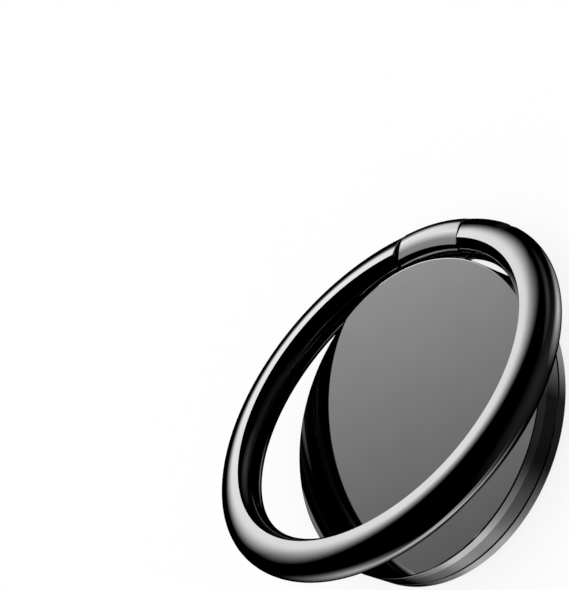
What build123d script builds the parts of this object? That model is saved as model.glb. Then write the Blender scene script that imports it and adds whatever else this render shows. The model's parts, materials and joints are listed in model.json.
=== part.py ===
from build123d import *
import os
from math import asin, atan2, cos, degrees, radians, sin

# Phone ring holder: a stuck-on disc that turns on its base, with a finger ring hinged at its edge.
# Millimetres. The origin is the middle of the adhesive face, +Z points out of the mirror face,
# and the hinge lies on the +Y side with its pin along X.

# Disc
disc_diameter = 32.0
face_thickness = 1.0
face_edge_chamfer = 0.16
body_thickness = 1.6
base_thickness = 1.1
seam_gap = 0.1
seam_edge_chamfer = 0.06
back_edge_chamfer = 0.15

# Adhesive pad on the back
pad_thickness = 0.8
pad_inset = 1.0

# Finger ring: a round bar with a narrow flat land on top and an eased outer shoulder
tube_diameter = 4.1
land_drop = 0.35
land_start = 0.45
land_width = 0.62
shoulder_ease = 0.25
ring_to_disc_gap = 0.42
ring_opening = 18.9
end_chamfer = 0.12

# Small ground flat on the ring's shoulder, beside the hinge
flat_turn = 36.0
flat_tilt = 42.6
flat_slope = 10.0
flat_length = 2.9

# Hinge at the edge of the disc
hinge_below_face = 1.88
knuckle_length = 8.0
hinge_gap = 0.25
neck_thickness = 1.0
neck_fillet = 0.5
neck_overlap = 3.0
pin_diameter = 1.5
pin_grip = 2.0
pin_chamfer = 0.15
pin_end_room = 0.1
sleeve_wall = 0.4
sleeve_slit = 0.5
sleeve_inset = 0.2
hinge_washer_thickness = 0.2
hinge_washer_width = 0.5

# Pivot in the middle of the disc
rivet_diameter = 4.0
rivet_head_diameter = 7.0
rivet_head_thickness = 0.5
rivet_formed_diameter = 6.0
rivet_formed_thickness = 0.35
rivet_washer_diameter = 9.0
rivet_washer_thickness = 0.25
spring_washer_diameter = 8.6
spring_washer_thickness = 0.2
spring_washer_height = 0.4
glide_inner_diameter = 12.0
glide_outer_diameter = 25.0
glide_recess = 0.4
recess_head_room = 0.08

# Clearances
running_clearance = 0.04
face_clearance = 0.02
seat_clearance = 0.2

# Heights of the stack, from the adhesive face up
disc_radius = disc_diameter / 2
base_bottom = pad_thickness
base_top = base_bottom + base_thickness
body_bottom = base_top + seam_gap
body_top = body_bottom + body_thickness
face_top = body_top + face_thickness

# Pivot stack, from the underside of the face plate down
formed_top = body_top - recess_head_room
formed_bottom = formed_top - rivet_formed_thickness
rivet_washer_bottom = formed_bottom - rivet_washer_thickness
spring_top = rivet_washer_bottom - face_clearance
recess_floor = spring_top - spring_washer_height
rivet_radius = rivet_diameter / 2
bore_radius = rivet_radius + running_clearance
recess_radius = rivet_washer_diameter / 2 + seat_clearance

# Ring and hinge
tube_radius = tube_diameter / 2
land_height = tube_radius - land_drop
shoulder_radius = land_height - shoulder_ease
shoulder_reach = tube_radius - shoulder_radius
ring_radius = disc_radius + ring_to_disc_gap + tube_radius
hinge_y = ring_radius
hinge_z = face_top - hinge_below_face
hinge_axis = Axis((0, hinge_y, hinge_z), (1, 0, 0))
knuckle_end = knuckle_length / 2
ring_end = knuckle_end + hinge_gap
pin_radius = pin_diameter / 2
pin_end = ring_end + pin_grip
sleeve_bore_radius = pin_radius + running_clearance
sleeve_radius = sleeve_bore_radius + sleeve_wall


def turned(*points):
    """A solid turned about Z from (radius, height) points."""
    outline = Polyline(*points, close=True)
    return revolve(Plane.XZ * make_face(outline), Axis.Z)


def along_hinge(radius, start, end):
    """A round bar on the hinge axis, from one X to another."""
    length = end - start
    bar = Cylinder(radius, length, rotation=(0, 90, 0))
    return Pos((start + end) / 2, hinge_y, hinge_z) * bar


def slab(x_start, x_end, y_start, y_end, z_start, z_end):
    """A block between two corners."""
    block = Box(x_end - x_start, y_end - y_start, z_end - z_start)
    return Pos((x_start + x_end) / 2, (y_start + y_end) / 2, (z_start + z_end) / 2) * block


def ring_section():
    """The ring's section in (radius, height): round below and inside, with the land and shoulder on top."""
    outermost = (ring_radius + tube_radius, 0)
    innermost = (ring_radius - tube_radius, 0)
    land_outer = (ring_radius - land_start, land_height)
    crease = (ring_radius - land_start - land_width, land_height)
    below = ThreePointArc(outermost, (ring_radius, -tube_radius), innermost)
    inside = TangentArc(innermost, crease, tangent=(0, 1))
    land = Line(crease, land_outer)
    crown_reach = land_start + shoulder_reach
    crown_radius = (crown_reach**2 + land_height**2 - shoulder_radius**2) / (2 * shoulder_ease)
    lean = atan2(crown_reach, crown_radius - land_height)
    meeting = (ring_radius + shoulder_reach + shoulder_radius * sin(lean), shoulder_radius * cos(lean))
    crown = TangentArc(land_outer, meeting, tangent=(1, 0))
    shoulder = TangentArc(outermost, meeting, tangent=(0, 1))
    return make_face([below, inside, land, crown, shoulder])


def hoop_part(start, arc):
    """Part of the hoop, folded flat round the disc, over an arc that starts at an angle from the right."""
    plane = Plane.XZ.rotated((0, 0, start))
    bar = revolve(plane * ring_section(), Axis.Z, revolution_arc=arc)
    return Pos(0, 0, hinge_z) * bar


def end_edges(solid, x):
    """The edges of the flat end that a solid has at one X."""
    ends = solid.faces().filter_by(Axis.X)
    end = ends.sort_by(lambda face: abs(face.center().X - x))[0]
    return end.outer_wire().edges()


def shoulder_flat():
    """The block that grinds a flat on the ring's upper shoulder, deepest at the end nearer the hinge."""
    turn = radians(flat_turn)
    tilt = radians(flat_tilt)
    slope = radians(flat_slope)
    outward = Vector(sin(turn), cos(turn), 0)
    towards_hinge = Vector(-cos(turn), sin(turn), 0)
    normal = outward * cos(tilt) + Vector(0, 0, 1) * sin(tilt)
    run_out = outward * (ring_radius + shoulder_reach) + Vector(0, 0, hinge_z) + normal * shoulder_radius
    floor = Plane(
        run_out,
        x_dir=towards_hinge * cos(slope) - normal * sin(slope),
        z_dir=normal * cos(slope) + towards_hinge * sin(slope),
    )
    corner = (Align.MIN, Align.CENTER, Align.MIN)
    return floor * Box(flat_length, tube_diameter, tube_radius, align=corner)


def make_adhesive_pad():
    """Foam tape, stamped a little smaller than the disc so that it never shows at the rim."""
    radius = disc_radius - pad_inset
    return turned((0, 0), (radius, 0), (radius, pad_thickness), (0, pad_thickness))


def make_base_plate():
    """Turned disc with a counterbore for the rivet's head and a shallow track for the slip ring."""
    head_seat_radius = rivet_head_diameter / 2 + seat_clearance
    head_seat_top = base_bottom + rivet_head_thickness
    track_floor = base_top - glide_recess
    track_inner = glide_inner_diameter / 2 - seat_clearance
    track_outer = glide_outer_diameter / 2 + seat_clearance
    return turned(
        (rivet_radius, head_seat_top),
        (head_seat_radius, head_seat_top),
        (head_seat_radius, base_bottom),
        (disc_radius - back_edge_chamfer, base_bottom),
        (disc_radius, base_bottom + back_edge_chamfer),
        (disc_radius, base_top - seam_edge_chamfer),
        (disc_radius - seam_edge_chamfer, base_top),
        (track_outer, base_top),
        (track_outer, track_floor),
        (track_inner, track_floor),
        (track_inner, base_top),
        (rivet_radius, base_top),
    )


def make_glide_washer():
    """Flat plastic slip ring that carries the turning body just clear of the base."""
    inner = glide_inner_diameter / 2
    outer = glide_outer_diameter / 2
    floor = base_top - glide_recess
    top = body_bottom - face_clearance
    return turned((inner, floor), (outer, floor), (outer, top), (inner, top))


def make_pivot_rivet():
    """Steel rivet: its head sits in the base's back, and its end is formed over the flat washer."""
    head_radius = rivet_head_diameter / 2
    head_top = base_bottom + rivet_head_thickness
    formed_radius = rivet_formed_diameter / 2
    crown = rivet_formed_thickness / 2
    return turned(
        (0, base_bottom),
        (head_radius, base_bottom),
        (head_radius, head_top),
        (rivet_radius, head_top),
        (rivet_radius, formed_bottom),
        (formed_radius, formed_bottom),
        (formed_radius, formed_top - crown),
        (formed_radius - crown, formed_top),
        (0, formed_top),
    )


def make_rivet_washer():
    """Flat steel washer under the rivet's formed end."""
    outer = rivet_washer_diameter / 2
    return turned(
        (rivet_radius, rivet_washer_bottom),
        (outer, rivet_washer_bottom),
        (outer, formed_bottom),
        (rivet_radius, formed_bottom),
    )


def make_spring_washer():
    """Spring steel washer, bent about one line, that presses the body down on the slip ring."""
    outer = spring_washer_diameter / 2
    rise = spring_washer_height - spring_washer_thickness
    left = (-outer, recess_floor)
    right = (outer, recess_floor)
    under = ThreePointArc(left, (0, recess_floor + rise), right)
    over = under.moved(Pos(0, spring_washer_thickness))
    sides = [Line(under @ 0, over @ 0), Line(under @ 1, over @ 1)]
    strip = extrude(Plane.XZ * make_face([under, over, *sides]), outer, both=True)
    blank = turned(
        (bore_radius, recess_floor),
        (outer, recess_floor),
        (outer, spring_top),
        (bore_radius, spring_top),
    )
    return strip & blank


def make_swivel_body():
    """Casting: a disc with the pivot's recess, and a neck that carries the hinge knuckle."""
    disc = turned(
        (bore_radius, body_bottom),
        (disc_radius - seam_edge_chamfer, body_bottom),
        (disc_radius, body_bottom + seam_edge_chamfer),
        (disc_radius, body_top),
        (recess_radius, body_top),
        (recess_radius, recess_floor),
        (bore_radius, recess_floor),
    )
    half_arc = 2 * degrees(asin(knuckle_end / ring_radius))
    reach = hinge_y + tube_diameter
    segment = slab(-knuckle_end, knuckle_end, 0, reach, hinge_z - tube_diameter, hinge_z + tube_diameter)
    knuckle = hoop_part(90 - half_arc, 2 * half_arc) & segment
    for end in (-knuckle_end, knuckle_end):
        knuckle = chamfer(end_edges(knuckle, end), end_chamfer)
    neck_half = knuckle_end - end_chamfer
    neck_top = body_bottom + neck_thickness
    neck = slab(-neck_half, neck_half, disc_radius - neck_overlap, hinge_y, body_bottom, neck_top)
    body = disc + neck + knuckle
    corner_y = (disc_radius**2 - neck_half**2) ** 0.5
    corners = body.edges().filter_by(Axis.Z).filter_by(
        lambda edge: abs(abs(edge.center().X) - neck_half) < 0.01 and abs(edge.center().Y - corner_y) < 0.01
    )
    body = fillet(corners, neck_fillet)
    return body - along_hinge(sleeve_radius, -knuckle_length, knuckle_length)


def make_face_plate():
    """Steel disc, polished to a mirror and bonded flush on the body."""
    return turned(
        (0, body_top),
        (disc_radius, body_top),
        (disc_radius, face_top - face_edge_chamfer),
        (disc_radius - face_edge_chamfer, face_top),
        (0, face_top),
    )


def make_hinge_sleeve():
    """Split spring sleeve, pressed into the knuckle, that grips the pin."""
    half = knuckle_end - sleeve_inset
    tube = along_hinge(sleeve_radius, -half, half) - along_hinge(sleeve_bore_radius, -half, half)
    slit_side = sleeve_slit / 2
    slit = slab(-half, half, hinge_y - slit_side, hinge_y + slit_side, hinge_z - sleeve_radius, hinge_z)
    return tube - slit


def make_hinge_washer(side):
    """Thin plastic washer between the knuckle and one end of the ring."""
    outer = pin_radius + running_clearance + hinge_washer_width
    faces = sorted((side * ring_end, side * (ring_end - hinge_washer_thickness)))
    return along_hinge(outer, *faces) - along_hinge(pin_radius, *faces)


def make_hinge_pin():
    """Straight steel pin, pressed into both ends of the ring."""
    pin = along_hinge(pin_radius, -pin_end, pin_end)
    return chamfer(pin.edges().filter_by(GeomType.CIRCLE), pin_chamfer)


def make_finger_ring():
    """Cast hoop, faced at both ends for the knuckle and drilled along the hinge from its left side."""
    cast_gap = degrees(asin(knuckle_end / (ring_radius + tube_radius)))
    hoop = hoop_part(90 + cast_gap, 360 - 2 * cast_gap)
    reach = hinge_y + tube_diameter
    slot = slab(-ring_end, ring_end, 0, reach, hinge_z - tube_diameter, hinge_z + tube_diameter)
    ring = hoop - slot - along_hinge(pin_radius, -ring_radius, pin_end + pin_end_room) - shoulder_flat()
    for end in (-ring_end, ring_end):
        ring = chamfer(end_edges(ring, end), end_chamfer)
    return ring


pieces = {
    "adhesive_pad": make_adhesive_pad(),
    "base_plate": make_base_plate(),
    "glide_washer": make_glide_washer(),
    "pivot_rivet": make_pivot_rivet(),
    "rivet_washer": make_rivet_washer(),
    "spring_washer": make_spring_washer(),
    "swivel_body": make_swivel_body(),
    "face_plate": make_face_plate(),
    "hinge_sleeve": make_hinge_sleeve(),
}

# The ring and what turns with it stand open by the angle of the photograph
swung = {
    "hinge_washer_left": make_hinge_washer(-1),
    "hinge_washer_right": make_hinge_washer(1),
    "hinge_pin": make_hinge_pin(),
    "finger_ring": make_finger_ring(),
}
for name, piece in swung.items():
    pieces[name] = piece.rotate(hinge_axis, -ring_opening)

os.makedirs("parts", exist_ok=True)
for name, piece in pieces.items():
    export_step(piece, f"parts/{name}.step")
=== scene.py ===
import json
from math import asin, atan2, cos, pi, radians, sin, sqrt

import bmesh
import bpy
from mathutils import Matrix, Vector


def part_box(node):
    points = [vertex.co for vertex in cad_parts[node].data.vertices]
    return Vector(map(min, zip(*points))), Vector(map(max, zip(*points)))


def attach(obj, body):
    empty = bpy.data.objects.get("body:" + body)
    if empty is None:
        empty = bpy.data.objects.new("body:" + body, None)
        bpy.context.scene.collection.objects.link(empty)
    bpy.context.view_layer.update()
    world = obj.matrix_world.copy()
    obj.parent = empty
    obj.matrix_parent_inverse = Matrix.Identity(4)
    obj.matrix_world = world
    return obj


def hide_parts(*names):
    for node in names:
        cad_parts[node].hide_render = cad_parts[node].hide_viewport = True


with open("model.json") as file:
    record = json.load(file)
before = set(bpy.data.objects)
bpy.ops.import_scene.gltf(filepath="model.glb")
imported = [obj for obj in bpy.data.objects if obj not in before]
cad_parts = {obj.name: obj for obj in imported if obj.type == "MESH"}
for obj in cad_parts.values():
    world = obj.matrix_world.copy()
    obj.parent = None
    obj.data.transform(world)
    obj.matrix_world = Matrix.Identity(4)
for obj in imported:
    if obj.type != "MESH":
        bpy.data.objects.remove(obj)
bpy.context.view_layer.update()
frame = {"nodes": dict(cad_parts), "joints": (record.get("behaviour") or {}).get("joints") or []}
nodes = frame["nodes"]
mm = 0.001


# Adhesive pad: a round of black foam tape, die cut a little smaller than the disc.
# Its back sticks to the phone, and its front is stuck to the base plate. The cut edge
# is slightly rounded, and the foam shows its fine closed cells.
def new_material(name):
    """An empty material with one shader, and the place on the piece to pattern it by."""
    material = bpy.data.materials.new(name)
    material.use_nodes = True
    tree = material.node_tree
    shader = tree.nodes["Principled BSDF"]
    place = tree.nodes.new("ShaderNodeTexCoord").outputs["Object"]
    return material, tree, shader, place


def add_noise(tree, place, grain, detail=2.0, stretch=(1, 1, 1)):
    """Cloudy noise whose patches are about one grain across, in metres."""
    mapping = tree.nodes.new("ShaderNodeMapping")
    mapping.inputs["Scale"].default_value = stretch
    noise = tree.nodes.new("ShaderNodeTexNoise")
    noise.inputs["Scale"].default_value = 1 / grain
    noise.inputs["Detail"].default_value = detail
    tree.links.new(place, mapping.inputs["Vector"])
    tree.links.new(mapping.outputs["Vector"], noise.inputs["Vector"])
    return noise.outputs["Fac"]


def add_range(tree, value, low, high):
    """The middle half of a noise, spread from low to high."""
    spread = tree.nodes.new("ShaderNodeMapRange")
    spread.inputs["From Min"].default_value = 0.25
    spread.inputs["From Max"].default_value = 0.75
    spread.inputs["To Min"].default_value = low
    spread.inputs["To Max"].default_value = high
    tree.links.new(value, spread.inputs["Value"])
    return spread.outputs["Result"]


def add_colours(tree, value, dark, light):
    """Two greys or colours, mixed by a value."""
    ramp = tree.nodes.new("ShaderNodeValToRGB")
    ramp.color_ramp.elements[0].color = (*dark, 1)
    ramp.color_ramp.elements[1].color = (*light, 1)
    tree.links.new(value, ramp.inputs["Fac"])
    return ramp.outputs["Color"]


def add_bump(tree, shader, value, depth, strength):
    """A fine relief of the given depth in metres."""
    bump = tree.nodes.new("ShaderNodeBump")
    bump.inputs["Strength"].default_value = strength
    bump.inputs["Distance"].default_value = depth
    tree.links.new(value, bump.inputs["Height"])
    tree.links.new(bump.outputs["Normal"], shader.inputs["Normal"])


def foam_finish():
    material, tree, shader, place = new_material("pad_foam")
    cells = tree.nodes.new("ShaderNodeTexVoronoi")
    cells.inputs["Scale"].default_value = 1 / (0.22 * mm)
    tree.links.new(place, cells.inputs["Vector"])
    clouds = add_noise(tree, place, 2.5 * mm)
    tone = add_colours(tree, clouds, (0.032, 0.032, 0.034), (0.062, 0.062, 0.066))
    tree.links.new(tone, shader.inputs["Base Color"])
    tree.links.new(add_range(tree, clouds, 0.72, 0.9), shader.inputs["Roughness"])
    add_bump(tree, shader, cells.outputs["Distance"], 0.06 * mm, 0.5)
    return material


def pick(piece, test):
    """Select, in edit mode, the vertices whose place passes a test."""
    bpy.ops.mesh.select_all(action="DESELECT")
    shape = bmesh.from_edit_mesh(piece.data)
    for vertex in shape.verts:
        if test(vertex.co):
            vertex.select_set(True)
    shape.select_flush(True)
    bmesh.update_edit_mesh(piece.data)


def settle(piece, name, body, node, material, angle=8):
    """Name a finished piece, shade it, and let it stand for its solid on the body that carries it."""
    bpy.ops.object.mode_set(mode="OBJECT")
    bpy.ops.object.select_all(action="DESELECT")
    piece.select_set(True)
    bpy.context.view_layer.objects.active = piece
    bpy.ops.object.transform_apply(location=True, rotation=True, scale=True)
    bpy.ops.object.shade_smooth_by_angle(angle=radians(angle))
    piece.name = name
    piece.data.name = name
    piece.data.materials.clear()
    piece.data.materials.append(material)
    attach(piece, body)
    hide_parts(node)


pad_low, pad_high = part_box("adhesive_pad")
pad_radius = pad_high.x
pad_edge = 0.12 * mm
bpy.ops.object.select_all(action="DESELECT")
bpy.ops.mesh.primitive_cylinder_add(
    vertices=192, radius=pad_radius, depth=pad_high.z - pad_low.z,
    location=(0, 0, (pad_low.z + pad_high.z) / 2),
)
foam_pad = bpy.context.object
bpy.ops.object.mode_set(mode="EDIT")
bpy.ops.mesh.select_all(action="SELECT")
bpy.ops.mesh.bevel(offset=pad_edge, segments=3, affect="EDGES")
settle(foam_pad, "foam_pad", "base", "adhesive_pad", foam_finish(), angle=60)


# Base plate: the fixed steel disc behind the turning body, turned on a lathe and plated in
# polished black chrome. It holds the rivet's head in a counterbore on its back, and the slip
# ring in a shallow track on its front.
def black_chrome(name, tone, blur):
    """Polished plating: a dark mirror with faint polishing haze and almost no relief."""
    material, tree, shader, place = new_material(name)
    haze = add_noise(tree, place, 4.0 * mm, detail=3.0)
    lines = add_noise(tree, place, 0.35 * mm, detail=2.0, stretch=(1, 1, 6))
    light = tuple(channel * 1.06 for channel in tone)
    dark = tuple(channel * 0.95 for channel in tone)
    tree.links.new(add_colours(tree, haze, dark, light), shader.inputs["Base Color"])
    tree.links.new(add_range(tree, lines, blur * 0.75, blur * 1.25), shader.inputs["Roughness"])
    add_bump(tree, shader, lines, 0.0006 * mm, 0.05)
    shader.inputs["Metallic"].default_value = 1.0
    return material


def draw_outline(places):
    """One vertex, extruded from place to place and joined up with the first."""
    bpy.ops.object.select_all(action="DESELECT")
    bpy.ops.mesh.primitive_plane_add(size=1 * mm, location=(0, 0, 0))
    piece = bpy.context.object
    bpy.ops.object.mode_set(mode="EDIT")
    bpy.ops.mesh.merge(type="CENTER")
    bpy.ops.transform.translate(value=places[0])
    for start, end in zip(places, places[1:]):
        bpy.ops.mesh.extrude_region_move(TRANSFORM_OT_translate={"value": end - start})
    pick(piece, lambda place: min((place - places[0]).length, (place - places[-1]).length) < 1e-7)
    bpy.ops.mesh.edge_face_add()
    return piece


def turn_outline(piece):
    """Spin a closed outline about the disc's axis, as on a lathe."""
    bpy.ops.mesh.select_all(action="SELECT")
    bpy.ops.mesh.spin(steps=256, angle=2 * pi, center=(0, 0, 0), axis=(0, 0, 1))
    bpy.ops.mesh.select_all(action="SELECT")
    bpy.ops.mesh.remove_doubles(threshold=1e-7)
    bpy.ops.mesh.normals_make_consistent(inside=False)
    bpy.ops.object.mode_set(mode="OBJECT")


base_low, base_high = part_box("base_plate")
disc_radius = 16.0 * mm
base_chrome = (0.225, 0.225, 0.228)
back_chamfer = 0.15 * mm
seam_chamfer = 0.06 * mm
edge_break = 0.025 * mm
rivet_radius = 2.0 * mm
head_seat_radius = 3.7 * mm
head_seat_top = base_low.z + 0.5 * mm
track_inner = 5.8 * mm
track_outer = 12.7 * mm
track_floor = base_high.z - 0.4 * mm
base_disc = draw_outline([Vector((across, 0, height)) for across, height in (
    (rivet_radius, head_seat_top),
    (head_seat_radius, head_seat_top),
    (head_seat_radius, base_low.z),
    (disc_radius - back_chamfer, base_low.z),
    (disc_radius, base_low.z + back_chamfer),
    (disc_radius, base_high.z - seam_chamfer),
    (disc_radius - seam_chamfer, base_high.z),
    (track_outer, base_high.z),
    (track_outer, track_floor),
    (track_inner, track_floor),
    (track_inner, base_high.z),
    (rivet_radius, base_high.z),
)])
pick(base_disc, lambda place: place.x > disc_radius - 2 * back_chamfer)
bpy.ops.mesh.bevel(offset=edge_break, segments=2, affect="VERTICES")
turn_outline(base_disc)
settle(base_disc, "base_disc", "base", "base_plate",
       black_chrome("base_black_chrome", base_chrome, 0.05))


# Pivot: a zinc plated steel rivet with a flat washer under its formed end, a bent spring washer
# that presses the body down, and the slip ring of white nylon that it turns on. They are closed
# in between the base and the face plate.
def plain_steel(name, tone, blur):
    """Bare or zinc plated steel with a soft grain and patches of duller plating."""
    material, tree, shader, place = new_material(name)
    patches = add_noise(tree, place, 1.2 * mm, detail=4.0)
    grain = add_noise(tree, place, 0.12 * mm, detail=2.0, stretch=(1, 5, 1))
    dull = tuple(channel * 0.82 for channel in tone)
    tree.links.new(add_colours(tree, patches, dull, tone), shader.inputs["Base Color"])
    tree.links.new(add_range(tree, grain, blur * 0.8, blur * 1.3), shader.inputs["Roughness"])
    add_bump(tree, shader, grain, 0.004 * mm, 0.25)
    shader.inputs["Metallic"].default_value = 1.0
    return material


def moulded_nylon(name, dark, light):
    """Moulded or punched nylon with a faint surface grain."""
    material, tree, shader, place = new_material(name)
    clouds = add_noise(tree, place, 1.5 * mm)
    grain = add_noise(tree, place, 0.08 * mm)
    tree.links.new(add_colours(tree, clouds, dark, light), shader.inputs["Base Color"])
    tree.links.new(add_range(tree, clouds, 0.38, 0.5), shader.inputs["Roughness"])
    add_bump(tree, shader, grain, 0.01 * mm, 0.3)
    return material


def finish_node(name, material):
    """Give a solid that shows as it is its own finish."""
    nodes[name].data.materials.clear()
    nodes[name].data.materials.append(material)


rivet_steel = plain_steel("rivet_steel", (0.55, 0.55, 0.56), 0.28)
spring_steel = plain_steel("spring_steel", (0.30, 0.30, 0.31), 0.24)
finish_node("pivot_rivet", rivet_steel)
finish_node("rivet_washer", rivet_steel)
finish_node("spring_washer", spring_steel)
finish_node("glide_washer", moulded_nylon("white_nylon", (0.78, 0.78, 0.75), (0.86, 0.86, 0.83)))


# Turning body: one zinc casting under the face plate, a disc with the pivot's recess and a neck
# that carries the hinge knuckle at its edge. The knuckle has the ring's own section and tone, so that the
# folded ring runs on through it. The rest of the body has a darker tone, painted shade for the darker
# reflection on its wall.
def hoop_part(centre, lean, first_turn, sweep, steps, end_place):
    """Part of the round hoop. Its section, a flat land and four arcs, is drawn from the land's inner edge
    and spun about the hoop's centre, with turns counted from the hinge. Both ends are then faced square,
    and their edges are rounded."""
    side = Vector((1, 0, 0))
    out = Vector((0, cos(lean), -sin(lean)))
    up = Vector((0, sin(lean), cos(lean)))
    start = side * sin(first_turn) + out * cos(first_turn)
    along = side * cos(first_turn) - out * sin(first_turn)
    tube_centre = centre + start * ring_radius
    shoulder_reach = tube_radius - shoulder_radius
    crown_reach = land_start + shoulder_reach
    crown_drop = land_height - shoulder_radius
    crown_radius = (crown_reach**2 + land_height**2 - shoulder_radius**2) / (2 * crown_drop)
    crown_angle = atan2(crown_reach, crown_radius - land_height)
    crown_centre = tube_centre - start * land_start + up * (land_height - crown_radius)
    shoulder_centre = tube_centre + start * shoulder_reach
    inner_depth = tube_radius - land_start - land_width
    inner_radius = (inner_depth**2 + land_height**2) / (2 * inner_depth)
    inner_centre = tube_centre + start * (inner_radius - tube_radius)
    bpy.ops.object.select_all(action="DESELECT")
    bpy.ops.mesh.primitive_plane_add(size=1 * mm, location=(0, 0, 0))
    piece = bpy.context.object
    bpy.ops.object.mode_set(mode="EDIT")
    bpy.ops.mesh.merge(type="CENTER")
    bpy.ops.transform.translate(value=tube_centre - start * (land_start + land_width) + up * land_height)
    bpy.ops.mesh.extrude_region_move(TRANSFORM_OT_translate={"value": start * land_width})
    bpy.ops.mesh.spin(steps=12, angle=crown_angle, center=crown_centre, axis=along)
    bpy.ops.mesh.spin(steps=16, angle=pi / 2 - crown_angle, center=shoulder_centre, axis=along)
    bpy.ops.mesh.spin(steps=48, angle=pi, center=tube_centre, axis=along)
    bpy.ops.mesh.spin(steps=16, angle=asin(land_height / inner_radius), center=inner_centre, axis=along)
    bpy.ops.mesh.select_all(action="SELECT")
    bpy.ops.mesh.remove_doubles(threshold=1e-6)
    bpy.ops.mesh.select_all(action="SELECT")
    bpy.ops.mesh.spin(steps=steps, angle=sweep, center=centre, axis=up)

    def turn_of(place):
        arm = place - centre
        return atan2(arm.dot(side), arm.dot(out))

    for end in (-1, 1):
        end_turn = end * min(abs(first_turn), abs(first_turn + sweep - 2 * pi))
        pick(piece, lambda place: abs(turn_of(place) - end_turn) < 1e-4)
        bpy.ops.mesh.extrude_region_move()
        shape = bmesh.from_edit_mesh(piece.data)
        for vertex in shape.verts:
            if vertex.select:
                arm = vertex.co - centre
                height = arm.dot(up)
                reach = (arm - up * height).length
                across = end * end_place
                vertex.co = centre + side * across + out * sqrt(reach**2 - across**2) + up * height
        bmesh.update_edit_mesh(piece.data)
        bpy.ops.mesh.edge_face_add()
    bpy.ops.mesh.select_all(action="SELECT")
    bpy.ops.mesh.normals_make_consistent(inside=False)
    pick(piece, lambda place: abs(abs(place.x) - end_place) < 1e-7 and (place - centre).dot(out) > 0)
    bpy.ops.mesh.bevel(offset=end_round, segments=3, affect="EDGES")
    bpy.ops.object.mode_set(mode="OBJECT")
    return piece


def carve(piece, tool, operation):
    """Join another shape to a piece or cut it away, and remove the tool."""
    bpy.ops.object.select_all(action="DESELECT")
    piece.select_set(True)
    bpy.context.view_layer.objects.active = piece
    step = piece.modifiers.new("carve", "BOOLEAN")
    step.operation = operation
    step.solver = "EXACT"
    step.object = tool
    bpy.ops.object.modifier_apply(modifier=step.name)
    bpy.data.objects.remove(tool)


def hinge_drill(radius, left, right):
    """A round bar on the hinge axis, for cutting a bore."""
    bpy.ops.object.select_all(action="DESELECT")
    bpy.ops.mesh.primitive_cylinder_add(
        vertices=96, radius=radius, depth=right - left,
        location=((left + right) / 2, hinge.y, hinge.z), rotation=(0, pi / 2, 0),
    )
    bpy.ops.object.transform_apply(location=True, rotation=True, scale=True)
    return bpy.context.object


def lift_knuckle_out_of_painted_shade(material, tone, start_radius):
    """Past a radius, which only the knuckle reaches, give the plating the ring's tone; inside it the darker
    tone of painted shade stays.
    """
    tree = material.node_tree
    colour = tree.nodes["Principled BSDF"].inputs["Base Color"]
    painted_shade_rim_tone = colour.links[0].from_socket
    place = tree.nodes.new("ShaderNodeTexCoord").outputs["Object"]
    flatten = tree.nodes.new("ShaderNodeVectorMath")
    flatten.operation = "MULTIPLY"
    flatten.inputs[1].default_value = (1, 1, 0)
    tree.links.new(place, flatten.inputs[0])
    radius = tree.nodes.new("ShaderNodeVectorMath")
    radius.operation = "LENGTH"
    tree.links.new(flatten.outputs["Vector"], radius.inputs[0])
    past = tree.nodes.new("ShaderNodeMath")
    past.operation = "GREATER_THAN"
    past.inputs[1].default_value = start_radius
    tree.links.new(radius.outputs["Value"], past.inputs[0])
    blend = tree.nodes.new("ShaderNodeMixRGB")
    blend.inputs["Color2"].default_value = (*tone, 1)
    tree.links.new(past.outputs["Value"], blend.inputs["Fac"])
    tree.links.new(painted_shade_rim_tone, blend.inputs["Color1"])
    tree.links.new(blend.outputs["Color"], colour)
    return material


body_bottom = 2.0 * mm
body_top = 3.6 * mm
# Painted shade: the body's plating is darker than the ring's, standing for the darker reflection on its
# wall band.
body_painted_shade_tone = (0.132, 0.132, 0.134)
knuckle_chrome = (0.22, 0.22, 0.223)
knuckle_start = 16.3 * mm
hinge = Vector((0, *frame["joints"][1]["pos_m"][1:]))
ring_radius = 18.47 * mm
tube_radius = 2.05 * mm
land_height = 1.7 * mm
land_start = 0.45 * mm
land_width = 0.62 * mm
shoulder_radius = 1.45 * mm
end_round = 0.12 * mm
knuckle_end = 4.0 * mm
neck_half = knuckle_end - end_round
neck_root = 13.0 * mm
neck_thickness = 1.0 * mm
neck_fillet = 0.5 * mm
flare_width = 1.2 * mm
flare_root = 15.1 * mm
pivot_bore = 2.04 * mm
recess_radius = 4.7 * mm
recess_floor = 2.5 * mm
sleeve_radius = 1.19 * mm

turning_body = draw_outline([Vector((across, 0, height)) for across, height in (
    (pivot_bore, body_bottom),
    (disc_radius - seam_chamfer, body_bottom),
    (disc_radius, body_bottom + seam_chamfer),
    (disc_radius, body_top),
    (recess_radius, body_top),
    (recess_radius, recess_floor),
    (pivot_bore, recess_floor),
)])
seam_edge = disc_radius - 2 * seam_chamfer
pick(turning_body, lambda place: place.x > seam_edge and place.z < body_top - seam_chamfer)
bpy.ops.mesh.bevel(offset=edge_break, segments=2, affect="VERTICES")
turn_outline(turning_body)

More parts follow.
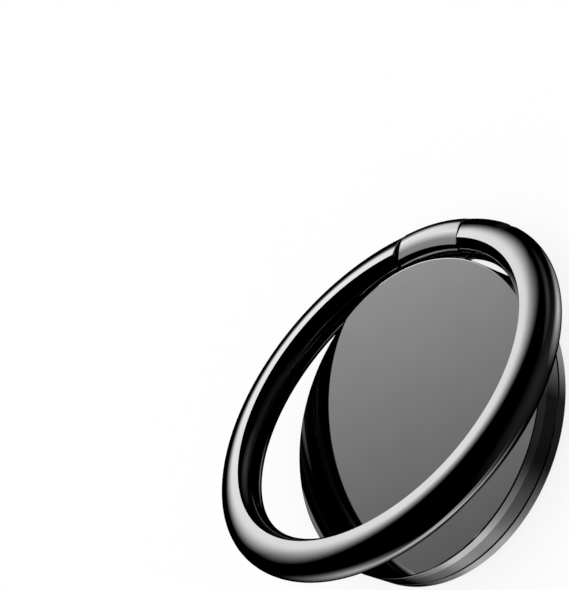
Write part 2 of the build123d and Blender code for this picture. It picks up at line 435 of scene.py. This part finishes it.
corner_y = sqrt(disc_radius**2 - neck_half**2)
flare = Vector((neck_half + flare_width, flare_root, body_bottom))
right_side = [
    Vector((neck_half, hinge.y, body_bottom)),
    Vector((neck_half, corner_y, body_bottom)),
    flare,
    Vector((flare.x, neck_root, body_bottom)),
]
left_side = [Vector((-place.x, place.y, place.z)) for place in reversed(right_side)]
neck = draw_outline(right_side + left_side)
pick(neck, lambda place: abs(abs(place.x) - neck_half) < 1e-6 and abs(place.y - corner_y) < 1e-6)
bpy.ops.mesh.bevel(offset=neck_fillet, segments=8, affect="VERTICES")
bpy.ops.mesh.select_all(action="SELECT")
bpy.ops.mesh.edge_face_add()
bpy.ops.mesh.extrude_region_move(TRANSFORM_OT_translate={"value": (0, 0, neck_thickness)})
bpy.ops.mesh.select_all(action="SELECT")
bpy.ops.mesh.normals_make_consistent(inside=False)
bpy.ops.object.mode_set(mode="OBJECT")

folded_centre = hinge - Vector((0, ring_radius, 0))
knuckle_arc = radians(9.5)
knuckle = hoop_part(folded_centre, 0, -knuckle_arc, 2 * knuckle_arc, 16, knuckle_end)
carve(turning_body, neck, "UNION")
carve(turning_body, knuckle, "UNION")
carve(turning_body, hinge_drill(sleeve_radius, -2 * knuckle_end, 2 * knuckle_end), "DIFFERENCE")
# The body's material carries the painted shade of its darker tone, lifted to the ring's tone on the
# knuckle.
settle(turning_body, "turning_body", "swivel", "swivel_body",
       lift_knuckle_out_of_painted_shade(black_chrome("body_black_chrome", body_painted_shade_tone, 0.05), knuckle_chrome, knuckle_start))


# Face plate: a steel disc, lapped flat and polished to a dark mirror, bonded flush on the body.
# Its front edge is broken by a fine chamfer that draws a thin line round the rim.
face_low, face_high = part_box("face_plate")
face_chrome = (0.31, 0.31, 0.313)
face_chamfer = 0.12 * mm
bpy.ops.object.select_all(action="DESELECT")
bpy.ops.mesh.primitive_cylinder_add(
    vertices=256, radius=disc_radius, depth=face_high.z - face_low.z,
    location=(0, 0, (face_low.z + face_high.z) / 2),
)
mirror_plate = bpy.context.object
bpy.ops.object.transform_apply(location=True, rotation=True, scale=True)
bpy.ops.object.mode_set(mode="EDIT")
pick(mirror_plate, lambda place: place.z > face_high.z - 1e-6)
bpy.ops.mesh.bevel(offset=face_chamfer, segments=3, affect="EDGES")
settle(mirror_plate, "mirror_plate", "swivel", "face_plate",
       black_chrome("mirror_face", face_chrome, 0.03))


# Hinge: a ground steel pin runs in a split spring sleeve that is pressed into the knuckle, with
# a thin black nylon washer at each end. Only their edges show in the two gaps of the hinge.
finish_node("hinge_sleeve", spring_steel)
finish_node("hinge_pin", plain_steel("pin_steel", (0.45, 0.45, 0.46), 0.2))
black_nylon = moulded_nylon("black_nylon", (0.016, 0.016, 0.016), (0.026, 0.026, 0.027))
finish_node("hinge_washer_left", black_nylon)
finish_node("hinge_washer_right", black_nylon)


# Finger ring: one zinc casting, polished and plated in black chrome, a round bar with a narrow
# flat land on its upper inner side. Its ends are faced square beside the knuckle and drilled for
# the pin, and one shoulder has a small ground flat.
ring_chrome = knuckle_chrome
ring_opening = radians(18.9)
ring_end = 4.25 * mm
ring_first = radians(16.5)
pin_radius = 0.75 * mm
pin_seat = 6.35 * mm
ring_centre = hinge + ring_radius * Vector((0, -cos(ring_opening), sin(ring_opening)))
finger_loop = hoop_part(ring_centre, ring_opening, ring_first, 2 * pi - 2 * ring_first, 240, ring_end)

flat_turn = radians(36)
flat_tilt = radians(42.6)
flat_slope = radians(10)
flat_length = 2.9 * mm
ring_out = Vector((0, cos(ring_opening), -sin(ring_opening)))
ring_up = Vector((0, sin(ring_opening), cos(ring_opening)))
outward = Vector((1, 0, 0)) * sin(flat_turn) + ring_out * cos(flat_turn)
to_hinge = ring_out * sin(flat_turn) - Vector((1, 0, 0)) * cos(flat_turn)
off_tube = outward * cos(flat_tilt) + ring_up * sin(flat_tilt)
run_out = ring_centre + outward * (ring_radius + tube_radius - shoulder_radius) + off_tube * shoulder_radius
flat_along = to_hinge * cos(flat_slope) - off_tube * sin(flat_slope)
flat_normal = off_tube * cos(flat_slope) + to_hinge * sin(flat_slope)
flat_across = flat_normal.cross(flat_along)
stone_turn = Matrix((flat_along, flat_across, flat_normal)).transposed()
bpy.ops.object.select_all(action="DESELECT")
bpy.ops.mesh.primitive_cube_add(
    size=1, location=run_out + flat_along * flat_length / 2 + flat_normal * tube_radius / 2,
    rotation=stone_turn.to_euler(), scale=(flat_length, 2 * tube_radius, tube_radius),
)
bpy.ops.object.transform_apply(location=True, rotation=True, scale=True)
carve(finger_loop, bpy.context.object, "DIFFERENCE")
carve(finger_loop, hinge_drill(pin_radius, -ring_radius, pin_seat), "DIFFERENCE")
settle(finger_loop, "finger_loop", "ring", "finger_ring",
       black_chrome("ring_black_chrome", ring_chrome, 0.04))


# Floor: a pale table top under the pad. The metal does not mirror it, because in the photograph
# the surroundings of the metal are the black lined tent below.
def stage_finish(name):
    material = bpy.data.materials.new(name)
    material.use_nodes = True
    tree = material.node_tree
    tree.nodes.remove(tree.nodes["Principled BSDF"])
    return material, tree, tree.nodes["Material Output"].inputs["Surface"]


bpy.ops.object.select_all(action="DESELECT")
bpy.ops.mesh.primitive_circle_add(vertices=64, radius=4.0, fill_type="NGON", location=(0, 0, -0.02 * mm))
floor = bpy.context.object
floor.name = "floor"
floor_paint, floor_tree, floor_surface = stage_finish("floor_paint")
floor_shade = floor_tree.nodes.new("ShaderNodeBsdfDiffuse")
floor_shade.inputs["Color"].default_value = (1.0, 1.0, 1.0, 1)
floor_glow = floor_tree.nodes.new("ShaderNodeEmission")
floor_glow.inputs["Strength"].default_value = 1.0
floor_mix = floor_tree.nodes.new("ShaderNodeMixShader")
floor_mix.inputs["Fac"].default_value = 0.85
floor_tree.links.new(floor_shade.outputs["BSDF"], floor_mix.inputs[1])
floor_tree.links.new(floor_glow.outputs["Emission"], floor_mix.inputs[2])
floor_tree.links.new(floor_mix.outputs["Shader"], floor_surface)
floor.data.materials.append(floor_paint)
floor.visible_glossy = False


# Light tent: a black lined ball round the table, seen by the polished metal alone. Soft lamps
# behind its wall glow through it, brightest in the middle and fading to the black lining.
tent_radius = 5.0
bpy.ops.object.select_all(action="DESELECT")
bpy.ops.mesh.primitive_uv_sphere_add(segments=64, ring_count=32, radius=tent_radius, location=(0, 0, 0))
tent = bpy.context.object
tent.name = "light_tent"
tent_cloth, tent_tree, tent_surface = stage_finish("tent_cloth")
tent_place = tent_tree.nodes.new("ShaderNodeTexCoord").outputs["Object"]
tent_light = tent_tree.nodes.new("ShaderNodeEmission")
tent_tree.links.new(tent_light.outputs["Emission"], tent_surface)


def add_glow(azimuth, elevation, width, height, roll, strength, falloff, before=None):
    """One soft light on the tent's wall, in degrees from +X and above the table. It fades out towards
    its edge, the sooner the larger its falloff, and is added to the lights before it."""
    turn, rise = radians(azimuth), radians(elevation)
    outward = Vector((cos(rise) * cos(turn), cos(rise) * sin(turn), sin(rise)))
    level = Vector((-sin(turn), cos(turn), 0))
    upward = outward.cross(level)
    across = level * cos(radians(roll)) + upward * sin(radians(roll))
    along = upward * cos(radians(roll)) - level * sin(radians(roll))
    mapping = tent_tree.nodes.new("ShaderNodeMapping")
    mapping.vector_type = "TEXTURE"
    mapping.inputs["Location"].default_value = outward * tent_radius
    mapping.inputs["Rotation"].default_value = Matrix((across, along, outward)).transposed().to_euler()
    reach = [2 * tent_radius * sin(radians(angle) / 2) for angle in (width, height)]
    mapping.inputs["Scale"].default_value = (*reach, max(reach))
    tent_tree.links.new(tent_place, mapping.inputs["Vector"])
    fade = tent_tree.nodes.new("ShaderNodeTexGradient")
    fade.gradient_type = "SPHERICAL"
    tent_tree.links.new(mapping.outputs["Vector"], fade.inputs["Vector"])
    soften = tent_tree.nodes.new("ShaderNodeMath")
    soften.operation = "POWER"
    soften.inputs[1].default_value = falloff
    tent_tree.links.new(fade.outputs["Fac"], soften.inputs[0])
    glow = tent_tree.nodes.new("ShaderNodeMath")
    glow.operation = "MULTIPLY_ADD"
    glow.inputs[1].default_value = strength
    tent_tree.links.new(soften.outputs[0], glow.inputs[0])
    glow.inputs[2].default_value = 0.0
    if before:
        tent_tree.links.new(before, glow.inputs[2])
    return glow.outputs[0]


def add_shade(light, low, high):
    """Darken the lights so far towards the foot of the tent, from one height on its wall to another."""
    height = tent_tree.nodes.new("ShaderNodeSeparateXYZ")
    tent_tree.links.new(tent_place, height.inputs["Vector"])
    rise = tent_tree.nodes.new("ShaderNodeMapRange")
    rise.interpolation_type = "SMOOTHSTEP"
    rise.inputs["From Min"].default_value = low
    rise.inputs["From Max"].default_value = high
    tent_tree.links.new(height.outputs["Z"], rise.inputs["Value"])
    shaded = tent_tree.nodes.new("ShaderNodeMath")
    shaded.operation = "MULTIPLY"
    tent_tree.links.new(light, shaded.inputs[0])
    tent_tree.links.new(rise.outputs["Result"], shaded.inputs[1])
    return shaded.outputs[0]


lower_key_glow = add_glow(137.5, 15.5, 30, 15.5, 13, 2.7, 1.25)
upper_key_glow = add_glow(135, 30.5, 34, 25, 16, 3.3, 1.55, lower_key_glow)
key_glow = add_shade(upper_key_glow, -0.23 * tent_radius, 0.27 * tent_radius)
low_right_glow = add_glow(-80, -47, 54, 11, -11, 2.05, 3.0, key_glow)
back_glow = add_glow(-126, -29, 42, 33, 90, 1.45, 1.6, low_right_glow)
under_glow = add_glow(-98, -58, 15.5, 35.5, 44, 2.4, 1.45, back_glow)
low_left_glow = add_glow(71, -54, 22.5, 34.5, 71, 1.85, 1.4, under_glow)
front_glow = add_glow(15, -30, 60, 60, 0, 0.07, 0.8, low_left_glow)
side_glow = add_glow(71, 3.5, 33, 14, -9, 0.18, 1.0, front_glow)
tent_tree.links.new(side_glow, tent_light.inputs["Strength"])
tent.data.materials.append(tent_cloth)
tent.visible_camera = False
tent.visible_diffuse = False
tent.visible_shadow = False
tent.visible_transmission = False


# Room light: an even white room, at the level at which a colour shows as it is.
world = bpy.data.worlds.new("white_room")
world.use_nodes = True
world.node_tree.nodes["Background"].inputs["Color"].default_value = (1, 1, 1, 1)
world.node_tree.nodes["Background"].inputs["Strength"].default_value = 1.0
bpy.context.scene.world = world
bpy.context.scene.view_settings.view_transform = "Standard"


# Camera: a long lens from the photograph's side, rolled so that the hinge is at the top, with
# the holder low and right in the frame.
camera_turn = radians(64.832)
camera_rise = radians(39.328)
camera_roll = radians(-68.572)
camera_distance = 280.344 * mm
camera_aim = Vector((-20.084, 16.388, 4.6)) * mm
camera_side = Vector((sin(camera_turn), -cos(camera_turn), 0))
camera_back = camera_side * cos(camera_rise) + Vector((0, 0, sin(camera_rise)))
camera_lens = bpy.data.cameras.new("camera")
camera_lens.sensor_width = 36
camera_lens.lens = 164.954
camera_lens.clip_start = 0.01
camera = bpy.data.objects.new("camera", camera_lens)
bpy.context.scene.collection.objects.link(camera)
level_view = (-camera_back).to_track_quat("-Z", "Y").to_matrix()
camera.matrix_world = Matrix.Translation(camera_aim + camera_back * camera_distance) @ (
    level_view @ Matrix.Rotation(camera_roll, 3, "Z")
).to_4x4()
bpy.context.scene.camera = camera
